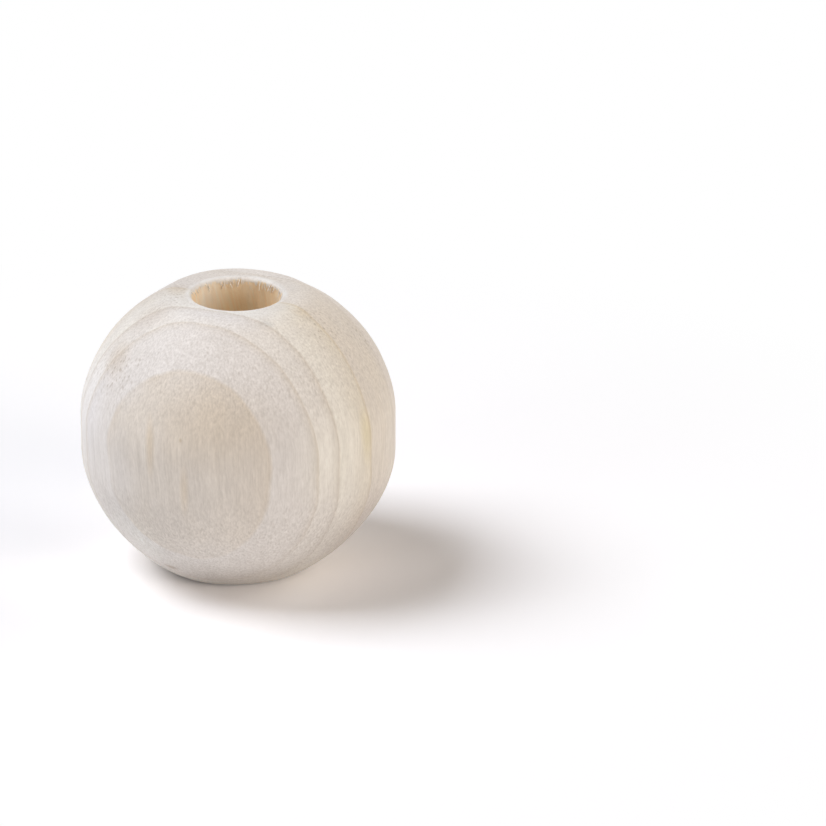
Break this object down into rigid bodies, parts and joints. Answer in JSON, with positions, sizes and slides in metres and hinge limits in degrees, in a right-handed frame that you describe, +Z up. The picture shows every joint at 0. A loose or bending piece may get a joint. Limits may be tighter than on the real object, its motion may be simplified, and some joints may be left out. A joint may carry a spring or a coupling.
{
  "type": "wooden bead",
  "caption": "Round bead turned from pale unfinished wood, with a straight cord hole between small flat ends and a narrow straight band round the middle.",
  "frame": {"origin": "centre of the lower flat end, on the axis of the cord hole, so that the bead stands on the plane z = 0", "axes": "+Z up along the cord hole; the bead is round about it, so +X and +Y may point anywhere across it"},
  "size_m": [0.02, 0.02, 0.0181],
  "materials": {
    "wood": "matte"
  },
  "bodies": {
    "root": {"bead": "wood"}
  },
  "joints": []
}
